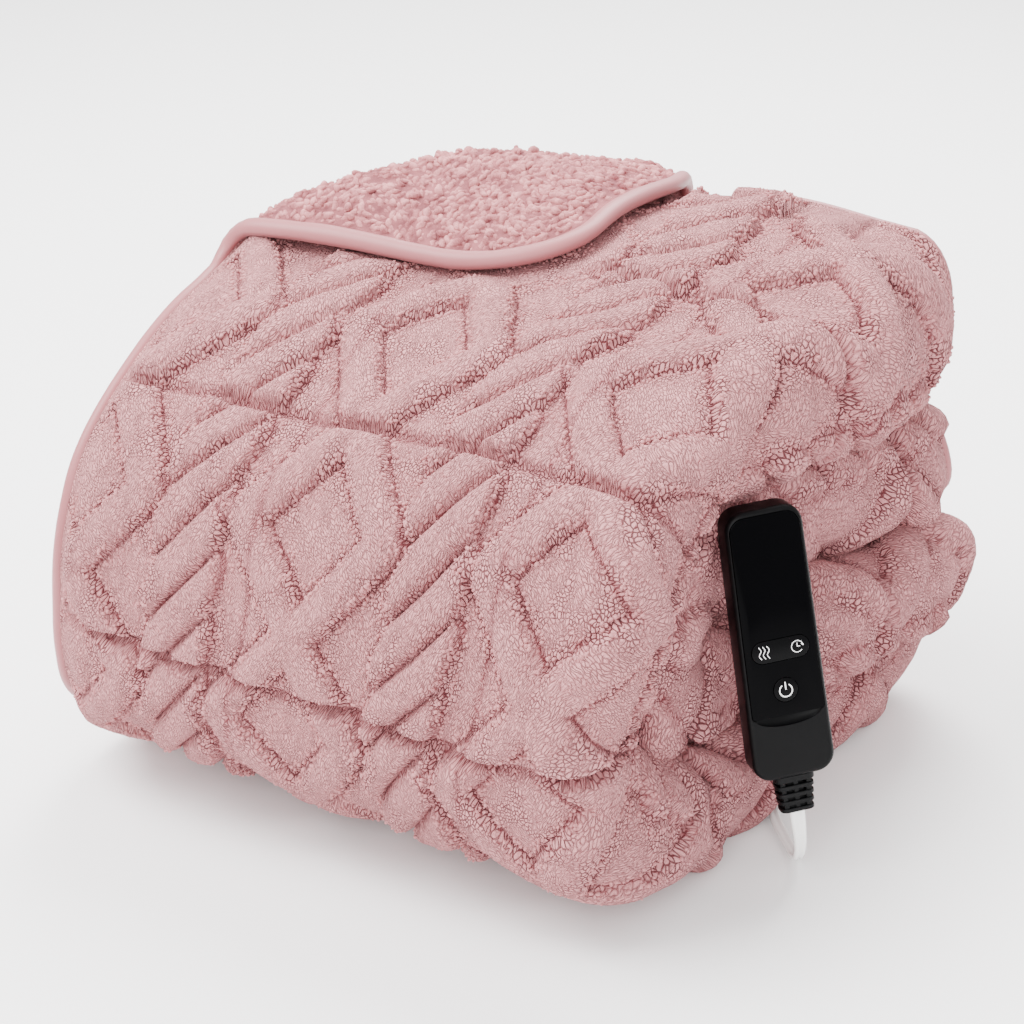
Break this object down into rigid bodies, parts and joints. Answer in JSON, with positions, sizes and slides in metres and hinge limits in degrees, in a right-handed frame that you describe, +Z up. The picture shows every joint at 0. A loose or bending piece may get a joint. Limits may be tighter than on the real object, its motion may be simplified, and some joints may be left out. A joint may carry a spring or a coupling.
{
  "type": "electric heated throw",
  "caption": "Folded plush heated throw with raised cable and diamond pattern, bound hem, turned-back sherpa corner, hand controller with push buttons, and mains lead.",
  "frame": {"origin": "on the floor, under the folded throw, on the flat underside it rests on", "axes": "+Z up; -Y towards the front, where the cloth wraps over; +X towards the end that shows the rounded folds and the controller"},
  "size_m": [0.4142, 0.4836, 0.3127],
  "materials": {
    "plush": "short velvety pile in dusty pink on the face, curly sherpa pile on the back",
    "satin_binding": "smooth satin",
    "black_plastic": "satin",
    "black_gloss": "polished",
    "black_button": "gloss with printed white signs",
    "black_soft_plastic": "satin, soft",
    "white_cord": "smooth white cord jacket",
    "blade_metal": "bright nickel"
  },
  "bodies": {
    "throw_set": {"throw": "plush", "binding": "satin_binding", "controller_housing": "black_plastic", "controller_face": "black_gloss", "strain_relief": "black_soft_plastic", "lead": "white_cord", "lead_coil": "white_cord", "lead_tail": "white_cord", "plug_body": "white_cord", "plug_blade_front": "blade_metal", "plug_blade_back": "blade_metal"},
    "heat_timer": {"heat_timer_button": "black_button"},
    "power": {"power_button": "black_button"}
  },
  "joints": [
    {"name": "heat_timer_press", "type": "slide", "parent": "throw_set", "child": "heat_timer", "axis": [-0.6545, 0.7269, -0.2079], "range_m": [0, 0.0008], "stiffness_N_per_m": 1200},
    {"name": "power_press", "type": "slide", "parent": "throw_set", "child": "power", "axis": [-0.6545, 0.7269, -0.2079], "range_m": [0, 0.0008], "stiffness_N_per_m": 1200}
  ]
}
